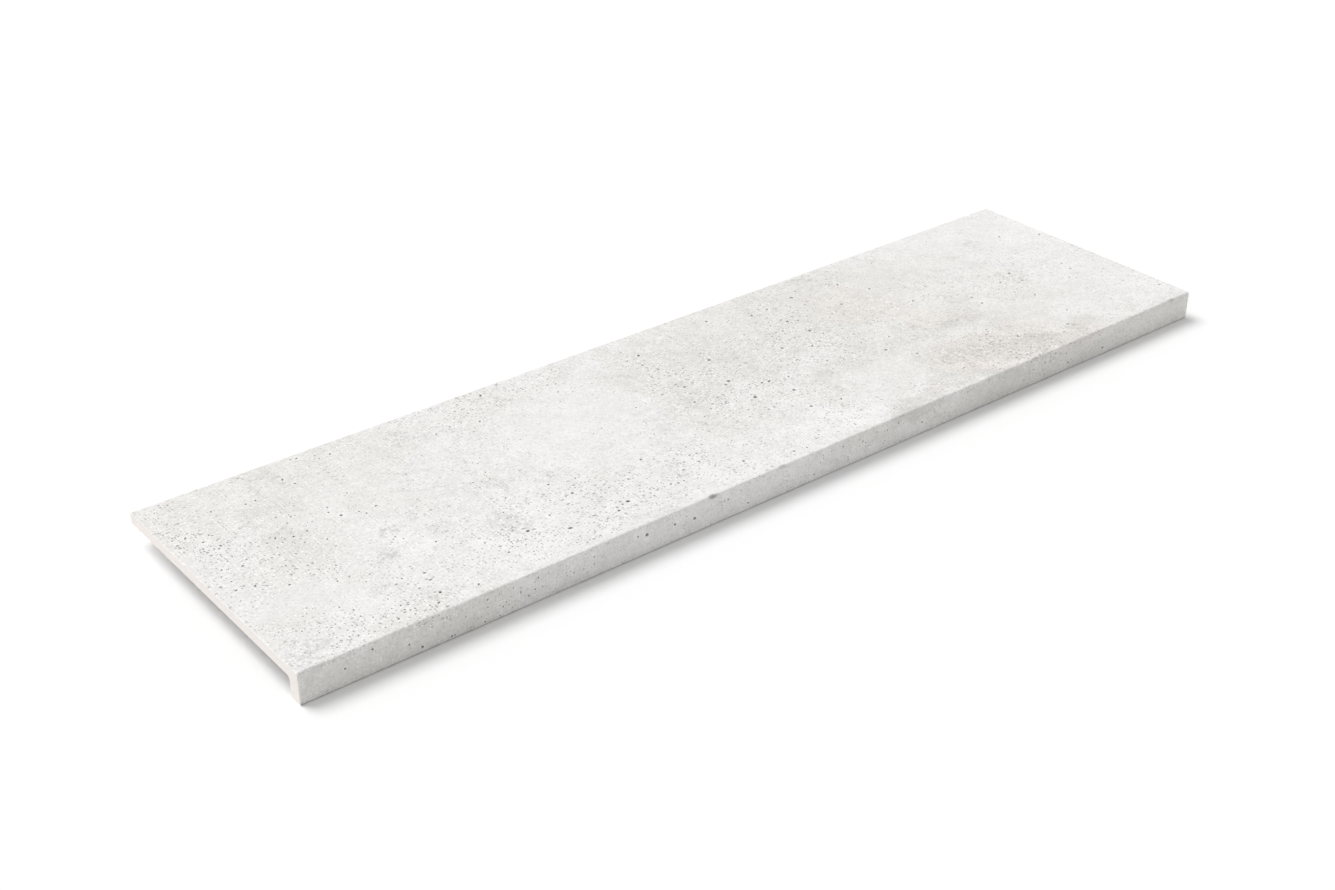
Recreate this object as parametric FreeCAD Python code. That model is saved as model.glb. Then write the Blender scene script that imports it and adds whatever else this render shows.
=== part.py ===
# Stair nosing tile: one pressed and fired stoneware tread with a turned-down front lip.
# Units are millimetres. +X runs along the nosing, +Y from the nosing to the back edge, +Z up.
# The origin is the middle of the footprint, on the level of the lip's foot.

import FreeCAD, Part
import math
import os

# Overall sizes of the tread
TREAD_LENGTH = 1197.0
TREAD_DEPTH = 327.0
NOSING_HEIGHT = 34.0

# Wall sizes of the section
SLAB_THICKNESS = 12.0
LIP_THICKNESS = 16.0

# Roundings of the section, named by the corner they are on
TOP_ARRIS_RADIUS = 2.5
FOOT_FRONT_RADIUS = 1.5
FOOT_BACK_RADIUS = 1.5
ROOT_FILLET_RADIUS = 4.0
BACK_BOTTOM_RADIUS = 1.0
BACK_TOP_RADIUS = 0.8

# Bevel left by grinding the two ends square
END_BEVEL = 0.5

# Keying grooves pressed into the bedding face, with draft on every wall
GROOVE_WIDTH = 11.0
GROOVE_DEPTH = 1.0
GROOVE_DRAFT = 0.8
GROOVE_PITCH = 22.0
END_MARGIN = 14.0
LIP_MARGIN = 9.0
BACK_MARGIN = 11.0

# Faces that the sizes above place
front_y = -TREAD_DEPTH / 2
back_y = front_y + TREAD_DEPTH
lip_back_y = front_y + LIP_THICKNESS
bed_z = NOSING_HEIGHT - SLAB_THICKNESS


def point(x, y, z):
    return FreeCAD.Vector(x, y, z)


def rounded_outline(corners):
    """A closed wire through (corner, radius) pairs, with a tangent arc at each corner."""
    starts, middles, ends = [], [], []
    count = len(corners)
    for index, (corner, radius) in enumerate(corners):
        to_last = (corners[index - 1][0] - corner).normalize()
        to_next = (corners[(index + 1) % count][0] - corner).normalize()
        half_angle = to_last.getAngle(to_next) / 2
        reach = radius / math.tan(half_angle)
        towards_centre = (to_last + to_next).normalize()
        centre = corner + towards_centre * (radius / math.sin(half_angle))
        starts.append(corner + to_last * reach)
        middles.append(centre - towards_centre * radius)
        ends.append(corner + to_next * reach)
    edges = []
    for index in range(count):
        edges.append(Part.Arc(starts[index], middles[index], ends[index]).toShape())
        edges.append(Part.LineSegment(ends[index], starts[(index + 1) % count]).toShape())
    return Part.Wire(edges)


def tread_section(x):
    """The L-shaped section across the nosing, at one place along the tread."""
    return rounded_outline([
        (point(x, front_y, NOSING_HEIGHT), TOP_ARRIS_RADIUS),
        (point(x, back_y, NOSING_HEIGHT), BACK_TOP_RADIUS),
        (point(x, back_y, bed_z), BACK_BOTTOM_RADIUS),
        (point(x, lip_back_y, bed_z), ROOT_FILLET_RADIUS),
        (point(x, lip_back_y, 0), FOOT_BACK_RADIUS),
        (point(x, front_y, 0), FOOT_FRONT_RADIUS),
    ])


def tread_blank():
    """The section run the whole length, with both ends bevelled all round."""
    left_x = -TREAD_LENGTH / 2
    blank = Part.Face(tread_section(left_x)).extrude(point(TREAD_LENGTH, 0, 0))
    end_edges = []
    for face in blank.Faces:
        if abs(face.normalAt(0, 0).x) > 0.99:
            end_edges.extend(face.Edges)
    return blank.makeChamfer(END_BEVEL, end_edges)


def slot_outline(length, width, y, z):
    """A round-ended slot centred on the tread's middle, lying flat at one height."""
    radius = width / 2
    straight = length / 2 - radius
    right_arc = Part.Arc(
        point(straight, y - radius, z), point(straight + radius, y, z), point(straight, y + radius, z)
    )
    left_arc = Part.Arc(
        point(-straight, y + radius, z), point(-straight - radius, y, z), point(-straight, y - radius, z)
    )
    return Part.Wire([
        Part.LineSegment(point(-straight, y - radius, z), point(straight, y - radius, z)).toShape(),
        right_arc.toShape(),
        Part.LineSegment(point(straight, y + radius, z), point(-straight, y + radius, z)).toShape(),
        left_arc.toShape(),
    ])


def keying_groove(y):
    """One drafted groove: a loft from its mouth, just below the bedding face, to its narrower floor."""
    mouth_length = TREAD_LENGTH - 2 * END_MARGIN
    overshoot = GROOVE_DEPTH
    mouth = slot_outline(
        mouth_length + 2 * GROOVE_DRAFT, GROOVE_WIDTH + 2 * GROOVE_DRAFT, y, bed_z - overshoot
    )
    floor = slot_outline(
        mouth_length - 2 * GROOVE_DRAFT, GROOVE_WIDTH - 2 * GROOVE_DRAFT, y, bed_z + GROOVE_DEPTH
    )
    return Part.makeLoft([mouth, floor], True, True)


def groove_rows():
    """The groove centres, as many as the bedding face holds, centred between its margins."""
    field_start = lip_back_y + ROOT_FILLET_RADIUS + LIP_MARGIN
    field_end = back_y - BACK_MARGIN
    count = int((field_end - field_start - GROOVE_WIDTH) // GROOVE_PITCH) + 1
    first = (field_start + field_end - (count - 1) * GROOVE_PITCH) / 2
    return [first + row * GROOVE_PITCH for row in range(count)]


def nosing_tile():
    tile = tread_blank()
    return tile.cut([keying_groove(y) for y in groove_rows()])


os.makedirs("parts", exist_ok=True)
tile = nosing_tile()
tile.exportStep("parts/nosing_tile.step")
print("solids", len(tile.Solids), "valid", tile.isValid(), "volume", round(tile.Volume))
print("box", tile.BoundBox)
print("groove rows", [round(y, 1) for y in groove_rows()])
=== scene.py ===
# %% [markdown]
# # A stair nosing tile
# The object is a long stoneware stair tread with a turned-down lip. It is pressed and fired as one body,
# printed with a picture of pale limestone, and glazed on the tread, the rounded arris and the lip's front.
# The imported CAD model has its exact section, fillets and keying grooves. What it leaves out is how fired
# clay really looks: faces that roll a little, an arris that wanders, over a thousand small pits, and the
# stone picture itself. This lesson makes one dressed surface with all of that, in the CAD model's own place.

# %% Load the frame
import math

import bpy
import numpy as np
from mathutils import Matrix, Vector


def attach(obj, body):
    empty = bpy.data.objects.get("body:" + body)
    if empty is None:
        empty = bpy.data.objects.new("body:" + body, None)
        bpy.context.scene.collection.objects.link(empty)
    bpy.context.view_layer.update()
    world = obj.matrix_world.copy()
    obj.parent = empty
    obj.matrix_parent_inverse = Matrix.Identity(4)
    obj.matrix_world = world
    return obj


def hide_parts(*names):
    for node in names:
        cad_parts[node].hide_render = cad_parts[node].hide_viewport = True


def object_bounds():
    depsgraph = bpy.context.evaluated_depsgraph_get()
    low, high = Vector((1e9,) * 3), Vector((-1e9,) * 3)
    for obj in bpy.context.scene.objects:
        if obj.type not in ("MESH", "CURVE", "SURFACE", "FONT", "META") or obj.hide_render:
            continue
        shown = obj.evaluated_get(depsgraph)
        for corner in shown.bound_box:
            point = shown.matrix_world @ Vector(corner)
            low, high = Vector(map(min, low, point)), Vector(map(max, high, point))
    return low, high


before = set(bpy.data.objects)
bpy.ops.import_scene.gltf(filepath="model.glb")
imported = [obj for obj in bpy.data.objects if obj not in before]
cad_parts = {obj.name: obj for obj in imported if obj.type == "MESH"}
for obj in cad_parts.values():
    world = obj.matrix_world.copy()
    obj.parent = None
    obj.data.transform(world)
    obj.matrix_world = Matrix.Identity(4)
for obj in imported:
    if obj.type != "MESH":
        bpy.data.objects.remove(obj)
cad_low, cad_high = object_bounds()
print("CAD box, mm:", [round(1000 * size, 1) for size in cad_high - cad_low])

# %% [markdown]
# The camera comes first, because every later choice is judged through it. The tile's own edges gave its
# place: a 50 mm lens on a 36 mm sensor, looking down 30 degrees, turned so that the near end of the nosing
# is at the lower left. The tile stands level on its lip, so the slab's underside is clear of the floor.

# %% Camera
MM = 0.001
LENS = 50.0
SENSOR_WIDTH = 36.0
LOOK_DOWN = 30.08
LOOK_RIGHT = 38.708
CAMERA_PLACE = (-1139.2, -1337.5, 983.5)

camera_data = bpy.data.cameras.new("camera")
camera_data.lens = LENS
camera_data.sensor_width = SENSOR_WIDTH
camera = bpy.data.objects.new("camera", camera_data)
bpy.context.scene.collection.objects.link(camera)
camera.location = Vector(CAMERA_PLACE) * MM
camera.rotation_euler = (math.radians(90 - LOOK_DOWN), 0, math.radians(-LOOK_RIGHT))
bpy.context.scene.camera = camera
print("camera at", [round(x, 3) for x in camera.location], "m")

# %% [markdown]
# The tile is extruded, so its shape is one profile carried along a straight path. The profile is an L of
# straight runs joined by tangent arcs. All sizes are in millimetres here, and turn into metres only when
# the mesh is made. The outer sizes come from the CAD box, and the walls repeat the CAD model's values.

# %% Sizes of the section
LENGTH = (cad_high.x - cad_low.x) / MM
FRONT, BACK = cad_low.y / MM, cad_high.y / MM
TOP = cad_high.z / MM
SLAB = 12.0
LIP = 16.0
ARRIS_RADIUS = 2.5
FOOT_RADIUS = 1.5
ROOT_RADIUS = 4.0
BACK_BOTTOM_RADIUS = 1.0
BACK_TOP_RADIUS = 0.8
END_BEVEL = 0.5

BED = TOP - SLAB
LIP_BACK = FRONT + LIP
print("length", round(LENGTH, 1), "depth", round(BACK - FRONT, 1), "height", round(TOP, 1))

# %% Sizes of the keying grooves
GROOVE_HALF_MOUTH = 5.5
GROOVE_HALF_FLOOR = 4.7
GROOVE_DEPTH = 1.0
GROOVE_PITCH = 22.0
GROOVE_COUNT = 13
FIRST_GROOVE = -123.0
END_MARGIN = 14.0
GROOVE_STRAIGHT = LENGTH / 2 - END_MARGIN - GROOVE_HALF_MOUTH

groove_centres = [FIRST_GROOVE + GROOVE_PITCH * k for k in range(GROOVE_COUNT)]
print(GROOVE_COUNT, "grooves, the last at y =", groove_centres[-1])

# %% [markdown]
# The surface is a grid: rows follow the profile, and columns follow the nosing. About 4 mm between them is
# fine enough for the rolling of a fired face. The first and last column are the ground ends, half a
# millimetre in from the full section. Near each end the columns crowd together a little, because there the
# same columns also turn the round ends of the grooves underneath.

# %% Columns along the nosing
CELL = 4.0
END_STEPS = 6

end_run = np.linspace(LENGTH / 2 - END_BEVEL, GROOVE_STRAIGHT, END_STEPS + 1)
straight_cells = round(2 * GROOVE_STRAIGHT / CELL)
straight_run = np.linspace(-GROOVE_STRAIGHT, GROOVE_STRAIGHT, straight_cells + 1)[1:-1]
column_x = np.concatenate([[-LENGTH / 2], -end_run, straight_run, end_run[::-1], [LENGTH / 2]])
columns = len(column_x)
from_end = np.minimum(np.arange(columns), np.arange(columns)[::-1])
end_step = np.clip(from_end - 1, 0, END_STEPS)
print(columns, "columns,", round(straight_run[1] - straight_run[0], 2), "mm apart")

# %% [markdown]
# No pressed face is flat. Smooth hills up to a quarter of a millimetre deep make a raking light wander over
# it. Value noise gives them: random heights on a square lattice, joined by the smooth step 3t^2 - 2t^3. It
# is seeded, so each run gives the same tile.

# %% Rolling relief
LATTICE = 256
HILLS = [(70.0, 0.14), (31.0, 0.08), (13.0, 0.05)]


def smooth_step(t):
    """3t^2 - 2t^3, level at both ends."""
    return t * t * (3 - 2 * t)


def rolling(x, y, wave, seed):
    """Smooth hills from 0 to 1: the heights of the four lattice corners, blended by the smooth step."""
    heights = np.random.default_rng(seed).random((LATTICE, LATTICE))
    u, v = np.broadcast_arrays(x / wave, y / wave)
    i, j = np.floor(u).astype(int), np.floor(v).astype(int)
    s, t = smooth_step(u - i), smooth_step(v - j)
    i0, i1, j0, j1 = i % LATTICE, (i + 1) % LATTICE, j % LATTICE, (j + 1) % LATTICE
    near = heights[i0, j0] * (1 - s) + heights[i1, j0] * s
    far = heights[i0, j1] * (1 - s) + heights[i1, j1] * s
    return near * (1 - t) + far * t


def relief(x, run):
    """Depth in mm of the glazed face below its true plane: the hills of each size, added."""
    return sum(depth * rolling(x, run, wave, seed) for seed, (wave, depth) in enumerate(HILLS))


print("relief in the middle of the tread, mm:", round(float(relief(0.0, 160.0)), 3))

# %% [markdown]
# The arris is where feet and handling wear a nosing. Its radius is a function of the place along it: a little
# under the CAD model's, wandering by half a millimetre, with a few short chips where it opens to almost twice
# that. The two chips in the middle are dark and easy to see, so they have the places that they really have.

# %% The arris
ARRIS_STEPS = 6
ARRIS_REACH = 6.0
LEAST_RADIUS, LONG_WANDER, SHORT_WANDER = ARRIS_RADIUS - 0.8, 0.7, 0.4
# Each chip has its place along the nosing, its half-length and how far it reaches in.
CHIPS = [
    (-141, 5.0, 2.0), (-50, 3.0, 1.2), (-582, 3.0, 0.7), (-245, 2.5, 0.7), (327, 5.0, 0.8), (566, 4.0, 1.2),
]


def chips(x):
    """How far the chips reach in at x, in mm: a bell, depth * exp(-(distance / half-length)^2), for each."""
    return sum(depth * np.exp(-((x - place) / half) ** 2) for place, half, depth in CHIPS)


def arris_radius(x):
    """The radius at x, in mm: the least radius, two sizes of slow wander, and the chips."""
    long_waves, short_waves = rolling(x, 0 * x, wave=47, seed=4), rolling(x, 0 * x, wave=12, seed=5)
    return LEAST_RADIUS + LONG_WANDER * long_waves + SHORT_WANDER * short_waves + chips(x)


arris_x = arris_radius(column_x)
print("arris radius from", round(arris_x.min(), 2), "to", round(arris_x.max(), 2), "mm")

# %% [markdown]
# Now the profile, run by run: once round the section, over the tread to the nosing, down, and back under the
# slab. A run gives y, z and the outward direction of its rows, so that relief can push a point straight into
# the face, and the end bevel can step in from it. A size that changes along the nosing, such as the arris
# radius, is an array with one value for each column, and numpy spreads it over the rows by itself.

# %% Runs of the profile


def shares(steps, keep_first):
    """0 to 1 in even steps as a column of rows, without the 0 where the run before already has that point."""
    return (np.arange(steps + 1) / steps)[0 if keep_first else 1:, None]


def straight(start, end, steps, keep_first=False):
    """Rows evenly from start to end. Outward is the way along, turned a quarter to the right."""
    share = shares(steps, keep_first)
    way_y, way_z = end[0] - start[0], end[1] - start[1]
    span = math.hypot(way_y, way_z)
    return start[0] + share * way_y, start[1] + share * way_z, way_z / span, -way_y / span


def turn(centre, radius, first, last, steps, keep_first=False, hollow=False):
    """Rows at centre + radius * (cos a, sin a), where a goes evenly from first to last, in degrees."""
    angle = np.radians(first + (last - first) * shares(steps, keep_first))
    facing = -1 if hollow else 1
    y, z = centre[0] + radius * np.cos(angle), centre[1] + radius * np.sin(angle)
    return y, z, facing * np.cos(angle), facing * np.sin(angle)


print("a quarter turn ends at", [round(float(v[-1, 0]), 3) for v in turn((0, 0), 1, 0, 90, 3)[:2]])

# %% [markdown]
# The grooves are pressed with draft, so each has a wide mouth and a narrower floor, both with round ends.
# The four rows of a groove could stop at its ends and leave the rest to be patched. It is simpler to let
# them run on: beyond the round end all four lie on the groove's middle line, where they have no width, and
# what has no width is removed at the end.

# %% Rows of one groove


def groove_line(centre, side, half_width, depth, first):
    """One edge of a groove: half_width from the middle line, and a quarter circle at each end of it."""
    phase = np.pi / 2 * np.clip((end_step - first) / (END_STEPS - first), 0, 1)
    way = np.sign(column_x)
    tip = way * (GROOVE_STRAIGHT + GROOVE_HALF_MOUTH)
    rounded = way * (GROOVE_STRAIGHT + half_width * np.cos(phase))
    x = np.select([end_step == 0, end_step < first, end_step < END_STEPS], [column_x, tip, rounded], column_x)
    return x, centre + side * half_width * np.sin(phase), BED + depth * (end_step >= first)


def groove(centre):
    """The five rows over one groove: mouth, floor, floor, mouth, and the middle of the land behind it."""
    lines = [
        groove_line(centre, -1, GROOVE_HALF_MOUTH, 0, 1),
        groove_line(centre, -1, GROOVE_HALF_FLOOR, GROOVE_DEPTH, 2),
        groove_line(centre, 1, GROOVE_HALF_FLOOR, GROOVE_DEPTH, 2),
        groove_line(centre, 1, GROOVE_HALF_MOUTH, 0, 1),
        (column_x, np.full(columns, centre + GROOVE_PITCH / 2), np.full(columns, BED)),
    ]
    x, y, z = (np.array(row) for row in zip(*lines))
    return y, z, 0, -1, x


print("a groove is", round(2 * (GROOVE_STRAIGHT + GROOVE_HALF_MOUTH), 1), "mm long at its mouth")

# %% [markdown]
# With the runs ready, the section reads like a walk round the tile. The tread takes eighty rows and the
# nosing seven, the same 4 mm as the columns, so that the cells there are square. A pit needs a square cell.

# %% The whole section
TREAD_CELLS = round((BACK - FRONT - ARRIS_REACH) / CELL)
first_land = FIRST_GROOVE - GROOVE_PITCH / 2
last_land = groove_centres[-1] + GROOVE_PITCH / 2
tread_start, tread_end = (BACK - BACK_TOP_RADIUS, TOP), (FRONT + ARRIS_REACH, TOP)
nosing_start, nosing_end = (FRONT, TOP - ARRIS_REACH), (FRONT, FOOT_RADIUS)
root_centre = (LIP_BACK + ROOT_RADIUS, BED - ROOT_RADIUS)
back_centre = (BACK - BACK_BOTTOM_RADIUS, BED + BACK_BOTTOM_RADIUS)

section = {
    "back top": turn((tread_start[0], TOP - BACK_TOP_RADIUS), BACK_TOP_RADIUS, 0, 90, 3),
    "tread": straight(tread_start, tread_end, TREAD_CELLS),
    "arris": turn((FRONT + arris_x, TOP - arris_x), arris_x, 90, 180, ARRIS_STEPS, keep_first=True),
    "nosing": straight(nosing_start, nosing_end, 7, keep_first=True),
    "foot front": turn((FRONT + FOOT_RADIUS, FOOT_RADIUS), FOOT_RADIUS, 180, 270, 3),
    "foot": straight((FRONT + FOOT_RADIUS, 0), (LIP_BACK - FOOT_RADIUS, 0), 3),
    "foot back": turn((LIP_BACK - FOOT_RADIUS, FOOT_RADIUS), FOOT_RADIUS, 270, 360, 3),
    "lip back": straight((LIP_BACK, FOOT_RADIUS), (LIP_BACK, root_centre[1]), 4),
    "root": turn(root_centre, ROOT_RADIUS, 180, 90, 4, hollow=True),
    "front land": straight((root_centre[0], BED), (first_land, BED), 2),
}
section.update({f"groove {k}": groove(centre) for k, centre in enumerate(groove_centres)})
section.update({
    "back land": straight((last_land, BED), (BACK - BACK_BOTTOM_RADIUS, BED), 3),
    "back bottom": turn(back_centre, BACK_BOTTOM_RADIUS, 270, 360, 3),
    "back edge": straight((BACK, BED + BACK_BOTTOM_RADIUS), (BACK, TOP - BACK_TOP_RADIUS), 3),
})

row_counts = [len(run[0]) for run in section.values()]
row_ends = dict(zip(section, np.cumsum(row_counts)))
rows = sum(row_counts)
print(rows, "rows in", len(section), "runs")

# %% [markdown]
# Stacking the runs gives one array for each of x, y, z and the outward direction, all rows by columns. The
# distance walked along the profile is kept too: it is the second measure of place on the surface, it carries
# the relief over the arris and down the nosing, and later it lays the surface out flat.

# %% Stack the rows


def stacked(part, fallback=0.0):
    """One quantity of all runs as rows by columns. A run without it takes the fallback."""
    sheets = []
    for run, count in zip(section.values(), row_counts):
        value = run[part] if part < len(run) else fallback
        sheets.append(np.broadcast_to(value, (count, columns)))
    return np.vstack(sheets)


grid_y, grid_z, out_y, out_z, grid_x = (stacked(part, column_x) for part in range(5))

middle = columns // 2
steps_y, steps_z = np.diff(grid_y[:, middle]), np.diff(grid_z[:, middle])
walked = np.concatenate([[0], np.cumsum(np.hypot(steps_y, steps_z))])
walk_end = walked[-1] + SLAB / 4

# The relief comes in over the back edge's rounding, and goes out again over the foot's.
glaze_end = row_ends["foot front"]
row_number = np.arange(rows)
glazed_row = np.interp(row_number, [0, 2, glaze_end - 3, glaze_end - 1], [0, 1, 1, 0], right=0)
push = relief(grid_x, walked[:, None]) * glazed_row[:, None]
grid_y = grid_y - push * out_y
grid_z = grid_z - push * out_z
grid_y[:, [0, -1]] -= END_BEVEL * out_y[:, [0, -1]]
grid_z[:, [0, -1]] -= END_BEVEL * out_z[:, [0, -1]]
grid = np.stack([grid_x, grid_y, grid_z], 2)
print("profile length", round(walk_end, 1), "mm, of which glazed", round(walked[glaze_end - 1], 1))

# %% [markdown]
# The large patches are what makes this tile this tile: a grey middle with a clear left edge, a pale strip in
# front of it, a brown stain far right, speckled blotches on the left. Each is an ellipse in its own place,
# whose edge is soft or crisp, and crumbled by a noise. A shader could add them up, but about a hundred
# ellipses are more than one shader holds. They are worked out here for every point of the mesh, and the
# finish reads them as attributes. Places are on the surface laid flat: y goes on over the arris and down the
# nosing.

# %% Map of the stone picture
# Each patch has its middle, half-length and half-width in mm, tilt in degrees, and change of tone in levels.
SOFT_PATCHES = [
    ("warm stain behind", 245, 64, 62, 62, 20, -3.6),
    ("dark of the grey middle", 20, 20, 60, 90, 0, -1.8),
    ("grey behind the pale middle", -205, 146, 62, 26, 0, -3.0),
    ("pale behind the grey middle", 0, 147, 32, 20, 0, 6.5),
    ("grey behind", 250, 142, 90, 26, 0, -3.2),
    ("grey right of the middle", 158, 64, 34, 26, 0, -4.0),
    ("grey near behind", -250, 100, 34, 30, 0, -2.6),
    ("pale in the grey middle", 0, 64, 24, 38, 0, 2.6),
    ("left of the grey middle", -84, 62, 22, 34, 0, -4.6),
    ("grey in the near half", -325, 72, 42, 30, 0, -2.4),
    ("fleck left of the gap", 322, 58, 24, 20, 0, -2.4),
    ("grey far side", 566, 18, 30, 46, 0, -2.8),
    ("grey near side", -480, 4, 40, 34, 0, -3.0),
    ("pale far middle", 482, 22, 28, 24, 0, 2.8),
    ("pale in front of the middle", 70, -24, 120, 17, 0, 3.2),
    ("pale before the stain", 280, -60, 62, 15, -6, 6.8),
    ("pale near the front", -480, -100, 34, 24, 0, 3.0),
    ("pale before the pale middle", -192, -22, 50, 18, 0, 2.6),
    ("pale behind the stain", 160, -18, 36, 22, 0, 4.6),
    ("pale in front of the far end", 482, -100, 34, 24, 0, 2.6),
    ("grey before the far middle", 400, -58, 34, 17, 0, -2.8),
    ("grey behind the corner", 150, -134, 34, 16, 0, -3.4),
    ("grey before the middle", 0, -142, 34, 15, 0, -2.6),
    ("grey near the front edge", -480, -142, 34, 15, 0, -2.6),
    ("grey in front of the pale middle", -80, -20, 34, 18, 0, -2.0),
    ("grey near corner", -560, 146, 34, 20, 0, -2.0),
    ("grey near the end", -562, -98, 34, 18, 0, -3.8),
    ("grey right of the middle behind", 196, 114, 54, 38, 0, -2.0),
    ("grey at the far front", 402, -82, 36, 36, 0, -2.0),
    ("grey behind the front edge", 160, -106, 34, 18, 0, -2.8),
    ("pale left of the stain", 252, -142, 34, 16, 0, 2.4),
    ("pale in front of the grey middle", -84, -118, 34, 32, 0, 2.2),
    ("pale behind the blotch", -240, -40, 36, 32, 0, 2.0),
    ("pale in the middle", 60, -6, 76, 34, 0, 2.0),
    ("grey before the pale strip", 84, -80, 30, 28, 0, -5.6),
    ("grey in the near half behind", -400, 62, 30, 60, 0, -2.2),
    ("pale in the near front", -320, -98, 40, 50, 0, 5.2),
    ("pale at the front", -80, -142, 34, 14, 0, 3.0),
    ("nosing under the stain", 320, -184, 130, 27, 0, -10.5),
    ("far end of the nosing", 500, -184, 100, 27, 0, -5.0),
    ("near end of the nosing", -490, -184, 130, 27, 0, -4.5),
    ("middle of the nosing", -110, -184, 140, 27, 0, 3.2),
    ("stain in front", 310, -108, 120, 66, -8, -4.5),
    ("pale middle left", -165, 20, 85, 85, 0, 2.6),
    ("pale left of it", -290, 55, 90, 40, 0, 1.4),
    ("grey band behind left", -450, 126, 160, 46, 4, -3.2),
    ("grey stripe left", -495, 50, 30, 75, -10, -4.6),
    ("grey at the end in front", -545, -130, 62, 34, 0, 0.8),
    ("pale far end", 570, 75, 52, 95, 10, 3.6),
    ("pale far corner", 460, 150, 80, 24, 0, 2.6),
    ("pale far front", 555, -112, 50, 40, 0, 2.6),
    ("grey far middle", 455, 0, 60, 50, 0, -1.6),
]
CRISP_PATCHES = [
    ("grey middle", 158, 60, 230, 112, -4, -5.6),
    ("grey tail of it", -18, -60, 40, 24, -10, -4.5),
    ("grey before the stain", 255, -52, 130, 30, -4, -3.0),
    ("stain", 312, -115, 84, 38, -8, -6.5),
    ("end of the stain", 406, -143, 54, 20, -8, -10.0),
    ("pale strip in front", 38, -131, 92, 25, 8, 3.6),
    ("pale streak in it", 20, -122, 40, 7, -20, 3.0),
    ("pale gap", 345, 20, 28, 20, 20, 3.6),
    ("grey fold", 392, 80, 24, 40, 24, -2.6),
    ("band behind the gap", 470, 118, 50, 9, -42, -2.6),
    ("band at the far end", 515, 62, 60, 9, -36, -2.8),
    ("band before the far end", 440, -48, 66, 10, -26, -3.0),
    ("grey corner", 180, -148, 84, 17, 4, -10.5),
    ("wedge under the pale strip", 92, -164, 56, 12, 10, -5.5),
    ("white spot", -418, -48, 20, 22, 0, 4.5),
    ("pale small spot", -272, -38, 16, 8, 0, 2.5),
]
MOTTLED_PATCHES = [
    ("blotch", -327, -76, 26, 25, 20, -20),
    ("small dark blotch", -419, -21, 11, 8, -10, -27),
    ("blotch beside the spot", -449, -54, 13, 9, 30, -23),
    ("thread from the blotch", -386, -16, 9, 13, 10, -18),
    ("grey below it", -380, -50, 12, 11, 0, -11),
    ("curl", -296, -12, 26, 14, -25, -14),
    ("edge of a stain", -313, 118, 18, 20, 60, -16),
    ("small grey", -252, -36, 10, 11, 0, -19),
    ("grey in front left", -228, -92, 18, 14, 0, -14),
    ("speckled behind", -458, 128, 16, 13, 0, -15),
    ("speckled left", -503, 33, 20, 16, 0, -12),
    ("dark fleck", 108, -73, 10, 6, 10, -32),
    ("stain on the back edge", 264, 154, 18, 9, -20, -16),
    ("stain core left", 250, -108, 26, 13, -28, -18),
    ("stain core middle", 302, -116, 52, 16, -24, -16),
    ("stain core right", 368, -132, 26, 12, -24, -18),
    ("stain core far", 422, -137, 10, 10, 0, -24),
    ("stain edge", 325, -152, 40, 9, -8, -15),
    ("stain above", 330, -45, 26, 14, -30, -12),
    ("stain above left", 290, -28, 40, 12, -20, -8),
    ("grey front corner", -575, -138, 24, 16, 0, -15),
    ("front of the left", -440, -142, 16, 16, 0, -16),
    ("swarm line", -140, -108, 18, 14, 0, -15),
    ("speckled left of the middle", -60, -15, 60, 34, 0, -8),
    ("speckled middle", 10, 60, 70, 90, 0, -5),
    ("speckled middle right", 130, -20, 80, 40, 0, -7),
    ("far fleck", 500, 98, 14, 14, 0, -15),
    ("far middle", 470, -5, 18, 20, 0, -12),
]
# Here the level is how much denser the specks and the pits' swarms are.
DENSE_PATCHES = [
    ("near end behind", -556, 80, 46, 46, 0, 0.6), ("near side", -560, -10, 40, 50, 0, 0.5),
    ("front of the near half", -250, -106, 200, 46, 0, 0.45),
    ("near front edge", -500, -148, 110, 16, 0, 0.7),
    ("along the back", -220, 140, 120, 26, 0, 0.4), ("grey middle", 20, 20, 90, 110, 0, 0.4),
    ("right of the middle", 150, 20, 56, 60, 0, 0.6), ("stain", 310, -110, 90, 50, -20, 0.3),
    ("smooth near half", -370, 50, 90, 40, 0, -0.3), ("smooth pale middle", -165, 50, 76, 70, 0, -0.5),
    ("smooth far end", 450, 110, 150, 60, 0, -0.6), ("smooth far front", 480, -80, 110, 46, 0, -0.4),
    ("smooth front", 180, -95, 70, 36, 0, -0.4), ("smooth near front", -540, -70, 60, 26, 0, -0.5),
    ("nosing", 0, -186, 800, 24, 0, -0.4),
]
WARM_PATCHES = [
    ("brown stain", 315, -116, 100, 46, -8, 1.0), ("end of the stain", 405, -148, 52, 20, -8, 1.0),
    ("warm stain behind", 250, 70, 52, 56, 30, 0.75), ("warm strip", 290, 20, 20, 45, 0, 0.6),
    ("warm flecks", 150, 66, 50, 18, -30, 0.5), ("stain above", 310, -30, 40, 22, -30, 0.7),
    ("warm fleck on the left", -440, -142, 9, 9, 0, 0.8), ("edge", 190, -150, 20, 10, 0, 0.6),
]
print(len(SOFT_PATCHES) + len(CRISP_PATCHES) + len(MOTTLED_PATCHES), "patches change the tone")

# %% [markdown]
# The crumbling noise has four sizes, and moves the place that is asked for, so that an ellipse's edge is
# drawn out into bays and islands. How far a place is from a patch's middle is measured in the patch's own
# half sizes: u and v are 1 on its edge, and so is (|u|^p + |v|^p)^(1/p). With p = 2 that is an ellipse, and
# with p = 4 it is almost a rectangle with round corners.

# %% Patches as a function of place
ROUND, SQUARE = 2, 4
CRUMBLE_SIZES, CRUMBLE_FALL = 4, 0.6
SEED_ALONG, SEED_ACROSS = 21, 31
PLAIN_DENSE, LEAST_DENSE = 0.9, 0.45


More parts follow.
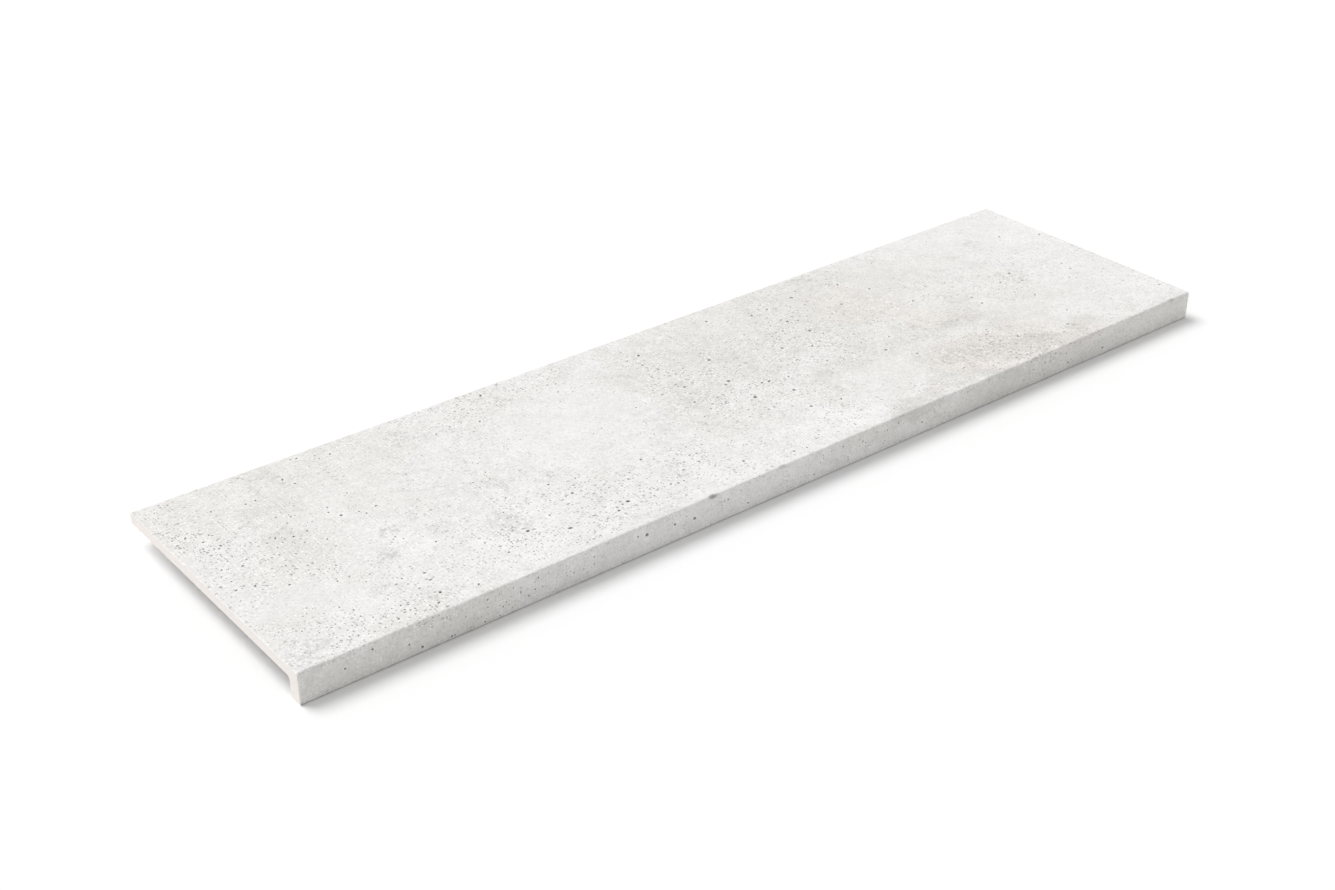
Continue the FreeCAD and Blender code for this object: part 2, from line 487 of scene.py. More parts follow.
def crumbling(x, y, wave, seed):
    """Rolling noise around 0 in four sizes, each half as long as the one before, and weaker."""
    strengths = CRUMBLE_FALL ** np.arange(CRUMBLE_SIZES)
    layers = [strength * rolling(x, y, wave / 2 ** k, seed + k) for k, strength in enumerate(strengths)]
    return sum(layers) / strengths.sum() - 0.5


def patches(listed, x, y, wander, wave, edge, power=ROUND):
    """Every patch of a list, 1 inside and 0 outside, times its level, added up. The change takes edge mm on
    both sides, and a crumbling noise of that wave moves the place about by up to half of wander, in mm."""
    along, across = crumbling(x, y, wave, SEED_ALONG), crumbling(x, y, wave, SEED_ACROSS)
    x, y = x + wander * along, y + wander * across
    total = 0
    for _, middle_x, middle_y, half_length, half_width, tilt, level in listed:
        cosine, sine = math.cos(math.radians(tilt)), math.sin(math.radians(tilt))
        u = ((x - middle_x) * cosine + (y - middle_y) * sine) / half_length
        v = ((y - middle_y) * cosine - (x - middle_x) * sine) / half_width
        distance = (np.abs(u) ** power + np.abs(v) ** power) ** (1 / power)
        share = edge / math.sqrt(half_length * half_width)
        total = total + level * smooth_step(np.clip((1 + share - distance) / (2 * share), 0, 1))
    return total


def broad_tone(x, y):
    """Change of tone by the soft and the crisp patches."""
    soft = patches(SOFT_PATCHES, x, y, wander=70, wave=30, edge=20)
    return soft + patches(CRISP_PATCHES, x, y, wander=62, wave=34, edge=5, power=SQUARE)


def speckled_tone(x, y):
    """Change of tone by the speckled patches, before the shader breaks them up."""
    return patches(MOTTLED_PATCHES, x, y, wander=34, wave=15, edge=4)


def warmth_at(x, y):
    """How brown the stone is, from 0 to 1."""
    return np.clip(patches(WARM_PATCHES, x, y, wander=50, wave=26, edge=12), 0, 1)


def denseness_at(x, y):
    """How dense specks and pits are, about 1."""
    return np.maximum(PLAIN_DENSE + patches(DENSE_PATCHES, x, y, wander=50, wave=30, edge=20), LEAST_DENSE)


print("tone in the middle of the brown stain:", round(float(broad_tone(312.0, -115.0)), 1))

# %% [markdown]
# Limestone is full of small pits, and a good imitation has them too. Bump could suggest them, but then
# nothing casts a shade in them and the mesh stays smooth. So each pit is real: its grid cell is taken out and
# replaced by a rim of eight points, a ring of eight further in and lower, and one point at the bottom. A
# small pit takes one cell and a large one takes a block of two by two.
#
# The large pits are what the eye finds first, so they are placed one by one. Each line gives the place, then
# length and width, and the tilt of the length from the nosing's direction.

# %% Pits placed one by one
TREAD_PITS = [
    # The dense part at the near end
    (-536, 115, 3.2, 2.6, 80), (-504, 108, 3.4, 2.6, 60), (-494, 108, 3.2, 2.4, 60),
    (-454, 127, 4.2, 2.8, 60), (-448, 113, 3.4, 2.8, 90), (-577, 89, 3.6, 2.8, 60),
    (-559, 79, 3.2, 2.6, 30), (-567, 72, 3.8, 2.8, 0), (-556, 56, 3.2, 3.0, 0), (-511, 36, 5.0, 2.2, 50),
    (-496, 28, 3.4, 2.6, 50), (-575, 19, 3.4, 2.4, 50), (-557, 13, 4.0, 2.6, 20),
    (-580, -19, 3.4, 3.0, 40), (-563, -23, 4.2, 2.4, 55), (-538, -41, 3.6, 3.0, 0),
    (-442, 33, 4.4, 3.6, 20), (-425, 27, 3.2, 2.4, 20), (-407, 27, 4.0, 2.8, 0), (-420, 22, 3.2, 2.6, 0),
    (-474, 3, 3.2, 2.4, 60), (-423, 155, 3.4, 3.0, 0), (-392, 142, 3.6, 3.0, 60),
    # The front of the near half
    (-433, -101, 4.8, 3.6, 0), (-434, -114, 5.0, 2.4, 10), (-438, -136, 4.8, 4.4, 40),
    (-448, -149, 4.4, 3.0, 30), (-489, -148, 3.6, 2.8, 60), (-396, -63, 3.4, 2.6, 30),
    (-318, -102, 5.2, 4.2, 30), (-404, -147, 4.2, 2.6, 60), (-284, -123, 7.0, 4.0, -12),
    (-210, -119, 7.2, 4.4, -8), (-229, -127, 4.6, 3.6, 20), (-245, -73, 4.8, 3.8, 50),
    (-254, -45, 4.4, 3.2, 20), (-226, -52, 3.4, 2.8, 0), (-353, -121, 3.6, 2.8, 0),
    (-286, -92, 3.8, 3.0, 30), (-286, 109, 3.4, 2.6, 70), (-267, 113, 3.4, 2.4, 60),
    (-204, 150, 6.0, 3.6, 55), (-236, 103, 4.2, 3.0, 60),
    # The middle
    (-153, -64, 4.4, 3.6, 40), (-186, -86, 3.8, 3.4, 0), (-159, -120, 3.6, 2.8, 30),
    (-152, -123, 3.4, 3.0, 40), (-145, -123, 3.4, 2.4, 40), (-132, -107, 6.0, 2.8, -20),
    (-74, -131, 4.6, 3.6, 60), (-21, -148, 4.0, 3.4, 0), (-14, 117, 6.2, 3.8, 50), (-21, 28, 4.8, 4.4, 0),
    (5, 63, 3.6, 2.8, 60), (40, 60, 4.6, 4.4, 0), (25, 9, 5.8, 4.2, 25), (17, 4, 4.4, 3.6, -30),
    (-34, -5, 4.0, 3.6, 0), (50, -17, 4.4, 3.8, 0), (58, -19, 7.0, 3.0, 30), (83, -24, 4.4, 3.0, 60),
    (23, -37, 6.8, 4.6, -10), (66, -51, 5.8, 5.0, 20), (57, -89, 4.8, 4.4, 0), (93, -97, 4.6, 2.8, 40),
    (99, 136, 4.6, 4.2, 0), (150, 115, 5.4, 4.4, 60), (122, 31, 5.2, 4.8, 30), (153, 14, 5.0, 3.8, 40),
    (177, 44, 6.6, 4.4, 35), (172, 77, 5.2, 4.8, 0), (184, 72, 3.6, 2.4, 60), (111, 83, 4.2, 2.6, 60),
    (175, 116, 4.6, 3.2, 40),
    # The far end
    (219, 122, 6.4, 4.8, -50), (286, 114, 5.0, 4.0, 50), (308, 82, 5.2, 3.8, 50), (253, 72, 4.4, 4.0, 0),
    (325, 26, 5.0, 3.4, 35), (237, -23, 3.8, 3.4, 0), (210, -45, 5.6, 4.4, 0), (232, -73, 4.2, 3.6, 0),
    (384, -29, 4.4, 3.6, 0), (386, -11, 4.6, 3.2, 40), (471, 7, 5.2, 4.8, 0), (469, -16, 4.6, 4.2, 0),
    (443, -4, 5.6, 3.2, 35), (545, 90, 6.6, 3.6, 45), (589, 63, 6.2, 3.6, 50), (544, -13, 4.8, 3.8, 20),
    (540, -30, 5.6, 3.8, 40), (520, -46, 4.8, 3.4, 30), (450, -53, 5.0, 3.4, 30),
    (352, -114, 6.0, 3.2, 50), (421, -129, 6.0, 4.4, 0), (590, -127, 6.0, 4.0, 0),
    (448, -104, 5.0, 2.8, 40), (246, -130, 5.4, 2.6, -10),
]
NOSING_PITS = [
    (-526, 26, 3.2, 2.6, -40), (-554, 18, 3.0, 2.4, -30), (-489, 14, 3.0, 2.4, 0),
    (-476, 6, 4.2, 3.0, -40), (-287, 24, 2.6, 2.2, 0), (-234, 24, 3.4, 2.6, -30),
    (-223, 22, 5.6, 4.4, -20), (-189, 20, 3.8, 3.0, -30), (-164, 17, 5.4, 3.6, -20),
    (-95, 8, 3.6, 2.4, -30), (-4, 9, 3.2, 2.4, -40), (112, 25, 3.0, 2.2, -60), (150, 14, 4.2, 2.6, -20),
    (380, 22, 3.4, 2.4, -20), (385, 9, 4.4, 3.4, 0), (445, 9, 5.4, 3.6, -10),
]
print(len(TREAD_PITS), "pits placed on the tread and", len(NOSING_PITS), "on the nosing")

# %% [markdown]
# A placed pit needs the block of cells round it. Its row comes from the distance walked, so the tread and
# the nosing need no code of their own. Where two blocks would share a cell, the later pit is left out.

# %% Give each placed pit its block of cells
WIDE_PIT = 3.3
PIT_CLEARANCE = 0.35
HALF_SHARE = 0.48
DEPTH_BY_WIDTH, DEEPEST = 0.35, 1.1
# The pits are cleaner towards the far end, so less dark.
FADING_FROM, FADING_DARK = (50, 600), (0.95, 0.6)

tread_first, tread_last = row_ends["back top"] - 1, row_ends["tread"] - 1
nosing_first, nosing_last = row_ends["arris"], row_ends["nosing"] - 1
tread_walk = walked[tread_first] + tread_start[0]
nosing_walk = walked[nosing_first] + nosing_start[1]
placed = [(x, tread_walk - y, *size) for x, y, *size in TREAD_PITS]
placed += [(x, nosing_walk - z, *size) for x, z, *size in NOSING_PITS]

taken = np.ones((rows, columns - 1), bool)
taken[tread_first + 1:tread_last - 1, 2:-2] = False
taken[nosing_first:nosing_last, 2:-2] = False


def nearest_line(lines, value, size):
    """The first line of the block of size cells whose middle is nearest to value."""
    middles = (lines[:-size] + lines[size:]) / 2
    return int(np.argmin(np.abs(middles - value)))


blocks = []
for x, walk, length, width, tilt in placed:
    size = 1 if length < WIDE_PIT else 2
    r, c = nearest_line(walked, walk, size), nearest_line(column_x, x, size)
    if taken[r:r + size, c:c + size].any():
        print("left out: the pit at", (x, round(walk)))
        continue
    taken[r:r + size, c:c + size] = True
    long, wide, depth = HALF_SHARE * length, HALF_SHARE * width, min(DEPTH_BY_WIDTH * width, DEEPEST)
    dark = float(np.interp(x, FADING_FROM, FADING_DARK))
    blocks.append((size, r, c, x, walk, long, wide, math.radians(tilt), depth, dark))
print(len(blocks), "placed pits have their cells")

# %% [markdown]
# The rest are scattered. The near end and the front are dense with them and the far end has few, and they
# come in swarms, so a cell's chance is a slope along the tile, times a noise with its low half cut off, times
# how dense the map says the place is.

# %% Scattered pits
SCATTERED = 1500
PIT_SEED = 7
LEAST_SLOPE, SLOPE_POWER = 0.12, 1.7
SWARM_CUT, LEAST_SWARM, SWARM_POWER = 0.62, 0.03, 1.5
PIT_SHIFT = 1.2
LEAST_HALF, HALF_RANGE, SLIMMEST = 0.6, 0.95, 0.55
DEPTH_BY_HALF, PALEST = 0.5, 0.4

free = np.argwhere(~taken)
free_x = (column_x[free[:, 1]] + column_x[free[:, 1] + 1]) / 2
free_walk = (walked[free[:, 0]] + walked[free[:, 0] + 1]) / 2
slope = LEAST_SLOPE + (0.5 - free_x / LENGTH) ** SLOPE_POWER * (0.5 + free_walk / walked[tread_last])
swarm = rolling(free_x, free_walk, wave=38, seed=11) + 0.5 * rolling(free_x, free_walk, wave=14, seed=12)
swarm = np.clip(swarm - SWARM_CUT, LEAST_SWARM, None) ** SWARM_POWER
chance = slope * swarm * denseness_at(free_x, tread_walk - free_walk)
random = np.random.default_rng(PIT_SEED)
picked = random.choice(len(free), SCATTERED, replace=False, p=chance / chance.sum())

half_length = LEAST_HALF + HALF_RANGE * random.random(SCATTERED) ** 2
half_width = half_length * random.uniform(SLIMMEST, 1.0, SCATTERED)
pit_x = free_x[picked] + random.uniform(-PIT_SHIFT, PIT_SHIFT, SCATTERED)
pit_walk = free_walk[picked] + random.uniform(-PIT_SHIFT, PIT_SHIFT, SCATTERED)
scattered = np.column_stack([
    np.ones(SCATTERED), free[picked], pit_x, pit_walk, half_length, half_width,
    random.uniform(0, np.pi, SCATTERED), DEPTH_BY_HALF * half_width, random.uniform(PALEST, 1.0, SCATTERED),
])
pits = np.vstack([blocks, scattered])
print(len(pits), "pits in all, the smallest", round(2 * half_width.min(), 2), "mm wide")

# %% [markdown]
# All pits of one block size are built at once, as arrays of pits by ring points. A ring point's place inside
# its block is worked out in millimetres along and across, turned into shares of the block, and the four block
# corners are blended by those shares. So a pit sits on the rolling face as if it had always been there.

# %% Build the pits
RIM_POINTS = 8
INNER_SHARE, INNER_DEPTH = 0.62, 0.75
# A pit's colour darkens towards its bottom, partly its own darker print and partly painted shade in the
# hollow, and its rim is lightened a little, a painted highlight.
RIM_PAINTED_HIGHLIGHT, INNER_SHADE = -0.08, 0.85
LEAST_WOBBLE, MOST_WOBBLE = 0.86, 1.1
points = [grid.reshape(-1, 3)]
point_pit, point_glaze = [np.zeros(rows * columns)], [np.repeat(glazed_row, columns)]
faces = []


def add_faces(corners, spots, glazed):
    """Keeps faces: their corner numbers, their corners' place on the surface, and if they are glazed."""
    faces.append((corners, spots, np.broadcast_to(glazed, len(corners))))


def add_between(*corners):
    """Keeps one face for each pit, from corners that are each a ring and the number of a point on it."""
    numbers, spots = (np.stack([ring[part][:, k] for ring, k in corners], 1) for part in (0, 1))
    add_faces(numbers, spots, True)


def blend_corners(corner_values, across, down):
    """(1-a)(1-d) A + (1-a)d B + ad C + a(1-d) D, for the block corners A, B, C, D anticlockwise."""
    a, d = across[..., None], down[..., None]
    first, second, third, fourth = (value[:, None] for value in corner_values)
    return (1 - a) * (1 - d) * first + (1 - a) * d * second + a * d * third + a * (1 - d) * fourth


def build_pits(size, chosen):
    """Rim, inner ring and bottom of each chosen pit, and the faces that join them to the block's edge."""
    r, c = chosen[:, 1].astype(int), chosen[:, 2].astype(int)
    x, walk, long, wide, tilt, depth, dark = chosen[:, 3:].T
    half = size // 2
    edge = [(0, 0), (half, 0), (size, 0), (size, half), (size, size), (half, size), (0, size), (0, half)]
    edge = edge if size > 1 else edge[::2]
    corner_at = [(0, 0), (size, 0), (size, size), (0, size)]
    corner_points = [grid[r + i, c + j] for i, j in corner_at]
    corner_spots = [np.stack([column_x[c + j], walked[r + i]], 1) for i, j in corner_at]
    width, height = column_x[c + size] - column_x[c], walked[r + size] - walked[r]

    angle = np.radians(135 + 360 * np.arange(RIM_POINTS) / RIM_POINTS)
    wobble = random.uniform(LEAST_WOBBLE, MOST_WOBBLE, (len(chosen), RIM_POINTS))
    turned = angle - tilt[:, None]
    along, across = long[:, None] * np.cos(turned) * wobble, wide[:, None] * np.sin(turned) * wobble
    right = along * np.cos(tilt)[:, None] - across * np.sin(tilt)[:, None]
    up = along * np.sin(tilt)[:, None] + across * np.cos(tilt)[:, None]
    reach_x, reach_y = np.abs(right).max(1) + PIT_CLEARANCE, np.abs(up).max(1) + PIT_CLEARANCE
    middle_x = np.clip((x - column_x[c]), reach_x, np.maximum(width - reach_x, reach_x))[:, None]
    middle_y = np.clip((walk - walked[r]), reach_y, np.maximum(height - reach_y, reach_y))[:, None]

    outward = np.cross(corner_points[1] - corner_points[0], corner_points[3] - corner_points[0])
    outward /= np.linalg.norm(outward, axis=1)[:, None]
    start = sum(len(block) for block in points)
    rings = []
    # The rim takes the painted highlight, and the inner ring and the bottom take the pit's dark, partly
    # painted shade.
    for scale, drop, shade in ((1, 0, RIM_PAINTED_HIGHLIGHT), (INNER_SHARE, INNER_DEPTH, INNER_SHADE), (0, 1, 1)):
        keep = slice(None) if scale else slice(0, 1)
        shares_across = (middle_x + scale * right[:, keep]) / width[:, None]
        shares_down = (middle_y - scale * up[:, keep]) / height[:, None]
        place = blend_corners(corner_points, shares_across, shares_down)
        place = place - (drop * depth)[:, None, None] * outward[:, None]
        spot = blend_corners(corner_spots, shares_across, shares_down)
        numbers = start + np.arange(place.shape[0] * place.shape[1]).reshape(place.shape[:2])
        start += numbers.size
        points.append(place.reshape(-1, 3))
        point_pit.append(np.repeat(shade * dark, place.shape[1]))
        point_glaze.append(np.ones(numbers.size))
        rings.append((numbers, spot))

    edge_numbers = np.stack([(r + i) * columns + c + j for i, j in edge], 1)
    edge_spots = np.stack([np.stack([column_x[c + j], walked[r + i]], 1) for i, j in edge], 1)
    block_edge = (edge_numbers, edge_spots)
    rim, inner, bottom = rings
    for k in range(RIM_POINTS):
        after = (k + 1) % RIM_POINTS
        add_between((rim, k), (rim, after), (inner, after), (inner, k))
        add_between((inner, k), (inner, after), (bottom, 0))
    for k in range(len(edge)):
        after = (k + 1) % len(edge)
        first, second = (k, after) if size > 1 else (2 * k, 2 * k + 1)
        add_between((block_edge, k), (block_edge, after), (rim, second), (rim, first))
        if size == 1:
            add_between((block_edge, after), (rim, (2 * k + 2) % RIM_POINTS), (rim, second))
    for i in range(size):
        for j in range(size):
            taken_by_pit[r + i, c + j] = True


taken_by_pit = np.zeros((rows, columns - 1), bool)
for size in (1, 2):
    build_pits(size, pits[pits[:, 0] == size])
print(sum(len(block) for block in points) - rows * columns, "points in the pits")

# %% [markdown]
# Every other cell of the grid is one four-sided face, and the last row joins the first, so the surface
# closes round the section. Each end is one flat face, as the saw leaves it.

# %% The rest of the surface
cell_r, cell_c = np.nonzero(~taken_by_pit)
next_r = (cell_r + 1) % rows
walk_after = np.append(walked[1:], walk_end)


def spot_of(r, c, walk):
    """The place of grid points on the surface, in mm: along the nosing, and along the profile."""
    return np.stack([grid_x[r, c], walk], 1)


corners = np.stack([
    cell_r * columns + cell_c, next_r * columns + cell_c,
    next_r * columns + cell_c + 1, cell_r * columns + cell_c + 1,
], 1)
spots = np.stack([
    spot_of(cell_r, cell_c, walked[cell_r]), spot_of(next_r, cell_c, walk_after[cell_r]),
    spot_of(next_r, cell_c + 1, walk_after[cell_r]), spot_of(cell_r, cell_c + 1, walked[cell_r]),
], 1)
add_faces(corners, spots, cell_r < glaze_end - 1)
print(len(corners), "grid faces")

# %% [markdown]
# The four rows of a groove lie on each other beyond its round ends. Points in the same place are now made
# one, and a face that has lost a corner becomes a triangle, or goes if it has lost two.

# %% Make the surface whole


def without_doubles(corners, spots, glazed):
    """Sorts faces of four corners: with no double corner they stay, with one they turn into triangles."""
    same = corners == np.roll(corners, -1, 1)
    whole = ~same.any(1)
    parts = [(corners[whole], spots[whole], glazed[whole])]
    for k in range(corners.shape[1]):
        lost = same[:, k] & (same.sum(1) == 1)
        keep = [(k + step) % corners.shape[1] for step in range(1, corners.shape[1])]
        parts.append((corners[lost][:, keep], spots[lost][:, keep], glazed[lost]))
    return parts


def end_ring(column):
    """The numbers of the points round one end, each once."""
    ring = merged[np.arange(rows) * columns + column]
    return ring[ring != np.roll(ring, 1)]


all_points = np.vstack(points)
rounded = np.round(all_points, 4)
_, first_seen, merged = np.unique(rounded, axis=0, return_index=True, return_inverse=True)
merged = first_seen[merged.ravel()]
pieces = []
for corners, spots, glazed in faces:
    corners = merged[corners]
    pieces += without_doubles(corners, spots, glazed) if corners.shape[1] == 4 else [(corners, spots, glazed)]

near_end, far_end = (end_ring(column) for column in (0, columns - 1))
caps = [near_end[::-1], far_end]
used = np.unique(np.concatenate([corners.ravel() for corners, _, _ in pieces] + caps))
renumber = np.full(len(all_points), -1)
renumber[used] = np.arange(len(used))
print(len(used), "points are used of", len(all_points))

# %% [markdown]
# The export paints everything into one square picture, so the surface is laid out in it with care. The
# glazed skin gets three quarters of the height, in two halves of the nosing one above the other. The bare
# underside has little to show and gets two low strips, and the two ends share the last one.

# %% Lay the surface out flat
PICTURE = 1024
GUTTER = 4 / PICTURE
SKIN_HEIGHT, BARE_HEIGHT, CAP_HEIGHT = 398 / PICTURE, 76 / PICTURE, 36 / PICTURE
glazed_walk = walked[glaze_end - 1]


def lay_out(spots, glazed):
    """Place in the picture: the share of half the nosing across, and the share of the skin or bare run up."""
    far_half = (spots[..., 0].mean(1) > 0)[:, None]
    across = spots[..., 0] / (LENGTH / 2) + np.where(far_half, 0, 1)
    skin = glazed[:, None]
    bare_share = (spots[..., 1] - glazed_walk) / (walk_end - glazed_walk)
    share = np.where(skin, spots[..., 1] / glazed_walk, bare_share)
    height = np.where(skin, SKIN_HEIGHT, BARE_HEIGHT)
    base = np.where(skin, GUTTER, 3 * GUTTER + 2 * SKIN_HEIGHT)
    up = base + np.where(far_half, height + GUTTER, 0) + share * height
    return np.stack([GUTTER + across * (1 - 2 * GUTTER), up], -1)


def lay_out_cap(ring, number):
    """An end's place in the picture: y across and z up, in the last strip."""
    y, z = all_points[ring, 1], all_points[ring, 2]
    width = 0.5 - 2 * GUTTER
    across = GUTTER + number * 0.5 + (y - FRONT) / (BACK - FRONT) * width
    return np.stack([across, 5 * GUTTER + 2 * SKIN_HEIGHT + 2 * BARE_HEIGHT + z / TOP * CAP_HEIGHT], -1)


picture = [lay_out(spots, glazed).reshape(-1, 2) for _, spots, glazed in pieces]
picture += [lay_out_cap(ring, number) for number, ring in enumerate(caps)]
picture = np.vstack(picture)
print("layout from", picture.min(0).round(3), "to", picture.max(0).round(3))

# %% [markdown]
# Now the mesh. Six numbers go with each point: how dark the pit is there, partly from painted shade in its
# hollow, whether glaze covers it, and the four maps of the stone picture. The chips in the arris are dark as
# well, and the foot's rounding carries painted shade in the same number: a painted contact shadow that makes
# the fine line where the nosing meets the floor. The map of dense places is called denseness, because an
# attribute called density came out as zero in the render. Edges sharper than the limit are kept crisp, such
# as the bevels and the groove walls, and all the rest is shaded smooth.

# %% Make the mesh
SHARP_ANGLE = 42
FOOT_SHADE = 0.5
CHIP_SHADE, CHIP_FROM, DARKEST_CHIP = 0.45, 0.15, 0.9
pit_and_shade_value, glaze_value = np.concatenate(point_pit), np.concatenate(point_glaze)
arris_rows = np.arange(row_ends["tread"], row_ends["arris"])[:, None] * columns + np.arange(columns)
arris_shade = np.sin(np.linspace(0, np.pi, len(arris_rows)))[:, None] ** 0.5
pit_and_shade_value[arris_rows] = np.clip(CHIP_SHADE * chips(column_x) - CHIP_FROM, 0, DARKEST_CHIP) * arris_shade
# The foot's rounding gets painted shade: a painted contact shadow along the line where the nosing meets the
# floor.
foot_rows = np.arange(row_ends["nosing"], row_ends["foot front"])[:, None] * columns + np.arange(columns)
pit_and_shade_value[foot_rows] = FOOT_SHADE
for end_column in (0, columns - 1):
    glaze_value[np.arange(rows) * columns + end_column] = 0

polygons = [face for corners, _, _ in pieces for face in renumber[corners].tolist()]
polygons += [renumber[ring].tolist() for ring in caps]
mesh = bpy.data.meshes.new("stoneware_tile")
mesh.from_pydata((all_points[used] * MM).tolist(), [], polygons)
layout = mesh.uv_layers.new(name="OFBake")
layout.data.foreach_set("uv", picture.astype(np.float32).ravel())
map_x, map_y = all_points[used, 0], all_points[used, 1] - (TOP - all_points[used, 2])
point_values = {
    "pit": pit_and_shade_value[used],
    "glaze": glaze_value[used],
    "broad": broad_tone(map_x, map_y),
    "speckled": speckled_tone(map_x, map_y),
    "warmth": warmth_at(map_x, map_y),
    "denseness": denseness_at(map_x, map_y),
}
for name, values in point_values.items():
    attribute = mesh.attributes.new(name, "FLOAT", "POINT")
    attribute.data.foreach_set("value", values.astype(np.float32))
mesh.shade_smooth()
mesh.set_sharp_from_angle(angle=math.radians(SHARP_ANGLE))
tile = bpy.data.objects.new("stoneware_tile", mesh)
bpy.context.scene.collection.objects.link(tile)
triangles = sum(len(face) - 2 for face in polygons)
print("mended by validate:", mesh.validate(), "- triangles:", triangles)

# %% [markdown]
# The finish is a shader, and shader maths is easier to read as Python. A Number wraps one socket, and + - *
# on it add Math nodes. Any other node comes from one method, which takes the node's type, its settings and
# the values or links of its sockets. A value that is fixed goes on the socket itself.

# %% A small language for shaders


class Number:
    """One number in a shader. Sums with other numbers, or with plain ones on either side, add Math nodes."""

    def __init__(self, board, socket):
        self.board, self.socket = board, socket

    def joined(self, operation, first, second):
        return self.board.node("ShaderNodeMath", {"operation": operation}, {0: first, 1: second})

    def __add__(self, other):
        return self.joined("ADD", self, other)

    def __radd__(self, other):
        return self.joined("ADD", other, self)

    def __sub__(self, other):
        return self.joined("SUBTRACT", self, other)

    def __rsub__(self, other):
        return self.joined("SUBTRACT", other, self)

    def __mul__(self, other):
        return self.joined("MULTIPLY", self, other)

    def __rmul__(self, other):
        return self.joined("MULTIPLY", other, self)


class Board:
    """The node tree of one material or world, emptied, with one method that adds a node."""

    def __init__(self, tree):
        self.tree = tree
        tree.nodes.clear()

    def node(self, kind, settings=None, values=None, output=0):
        """Adds a node, sets it up, then fills its sockets, and gives the wanted output as a Number."""
        made = self.tree.nodes.new(kind)
        for name, value in (settings or {}).items():
            if name == "stops":
                self.set_stops(made.color_ramp.elements, value)
            else:
                setattr(made, name, value)
        for name, value in (values or {}).items():
            if isinstance(value, Number):
                self.tree.links.new(value.socket, made.inputs[name])
            else:
                made.inputs[name].default_value = value
        return Number(self, made.outputs[output])

    @staticmethod
    def set_stops(elements, stops):
        """A ramp's stops as (position, colour) pairs. Two are there already."""
        while len(elements) < len(stops):
            elements.new(0.5)
        for element, (position, colour) in zip(elements, stops):
            element.position, element.color = position, (*colour, 1)

    def finish(self, shader, kind="ShaderNodeOutputMaterial"):
        """Links a shader to the tree's output."""
        output = self.tree.nodes.new(kind)
        self.tree.links.new(shader.socket, output.inputs["Surface"])


stone_material = bpy.data.materials.new("stone_look_glaze")
stone_material.use_nodes = True
stone = Board(stone_material.node_tree)
print("an empty board for", stone_material.name)

# %% [markdown]
# Colours are easier to judge as screen levels, from 0 to 255, so the stone picture is built as one tone in
# levels around that of the plain ground, and a ramp turns it into a colour at the end. The patterns read the
# object's own coordinates in millimetres, so sizes below are real sizes. Noise is read in three dimensions
# and fits every face. Dots have to be flat, so their place is x, and y + z: that goes on over the arris and
# down the nosing without a seam. They are a little longer along the nosing than across it.

# %% Patterns of the stone picture
GROUND = 235.3
MARK_STRETCH = 1.2
SMALLEST_DOT, DOT_EDGE = 0.3, 0.3


def linear(level):
    """A screen level as light: ((c + 0.055) / 1.055)^2.4, with c the level over 255."""
    return ((level / 255 + 0.055) / 1.055) ** 2.4


place = stone.node("ShaderNodeTexCoord", output="Object")
place = stone.node("ShaderNodeVectorMath", {"operation": "SCALE"}, {0: place, "Scale": 1 / MM})
place_x, place_y, place_z = (stone.node("ShaderNodeSeparateXYZ", {}, {0: place}, axis) for axis in "XYZ")
flat = stone.node("ShaderNodeCombineXYZ", {}, {"X": place_x * (1 / MARK_STRETCH), "Y": place_y + place_z})
pit, glaze, broad, speckled, warmth, denseness = (
    stone.node("ShaderNodeAttribute", {"attribute_name": name}, output="Fac") for name in point_values
)


def noise(size, detail, roughness, seed, where=place, output=0):
    """Cloudy noise whose largest clouds are about size mm, around 0.5."""
    return stone.node("ShaderNodeTexNoise", {"noise_dimensions": "4D"}, {
        "Vector": where, "W": seed, "Scale": 1 / size, "Detail": detail, "Roughness": roughness}, output)


def fade(value, start, end, low=0.0, high=1.0):
    """low before start, high after end, and a smooth step between. start may be above end."""
    return stone.node("ShaderNodeMapRange", {"interpolation_type": "SMOOTHSTEP"}, {
        "Value": value, "From Min": start, "From Max": end, "To Min": low, "To Max": high})


def dots(cell, radius, share, seed):
    """Dots on the flat place: one point a cell, in a share of the cells, with a random radius."""
    shifted = stone.node("ShaderNodeVectorMath", {"operation": "ADD"}, {0: flat, 1: (seed, 7 * seed, 0)})
    values = {"Vector": shifted, "Scale": 1 / cell}
    near = stone.node("ShaderNodeTexVoronoi", {"voronoi_dimensions": "2D"}, values, "Distance")
    tint = stone.node("ShaderNodeTexVoronoi", {"voronoi_dimensions": "2D"}, values, "Color")
    chance = stone.node("ShaderNodeSeparateXYZ", {}, {0: tint}, "X")
    size = fade(chance, 1 - share, 1, SMALLEST_DOT * radius / cell, radius / cell)
    size = size * fade(chance, 1 - share, 1.01 - share)
    return fade(near - size, 0, -DOT_EDGE * radius / cell)


print("the plain ground is", round(linear(GROUND), 3), "in light")

# %% [markdown]
# Between the patches the ground is alive at every size: clouds of some centimetres, mottles of about one,
# and a grain of two or three millimetres. The print also has thousands of specks, pale flecks and dark dots,
# which are sharper than any noise, so those are dots, at most one to a cell. The dark ones are strongest in
# swarms, and soft ticks, drawn out roughly along the nosing, fill the places between. The real pits darken
# the tone through their number on the mesh: partly their own dark print and partly painted shade, deepest at
# a pit's bottom, with a painted highlight on its rim. The same number darkens the chips, and paints the shade
# of the contact line on the foot's rounding. Each pattern's strength is in levels.

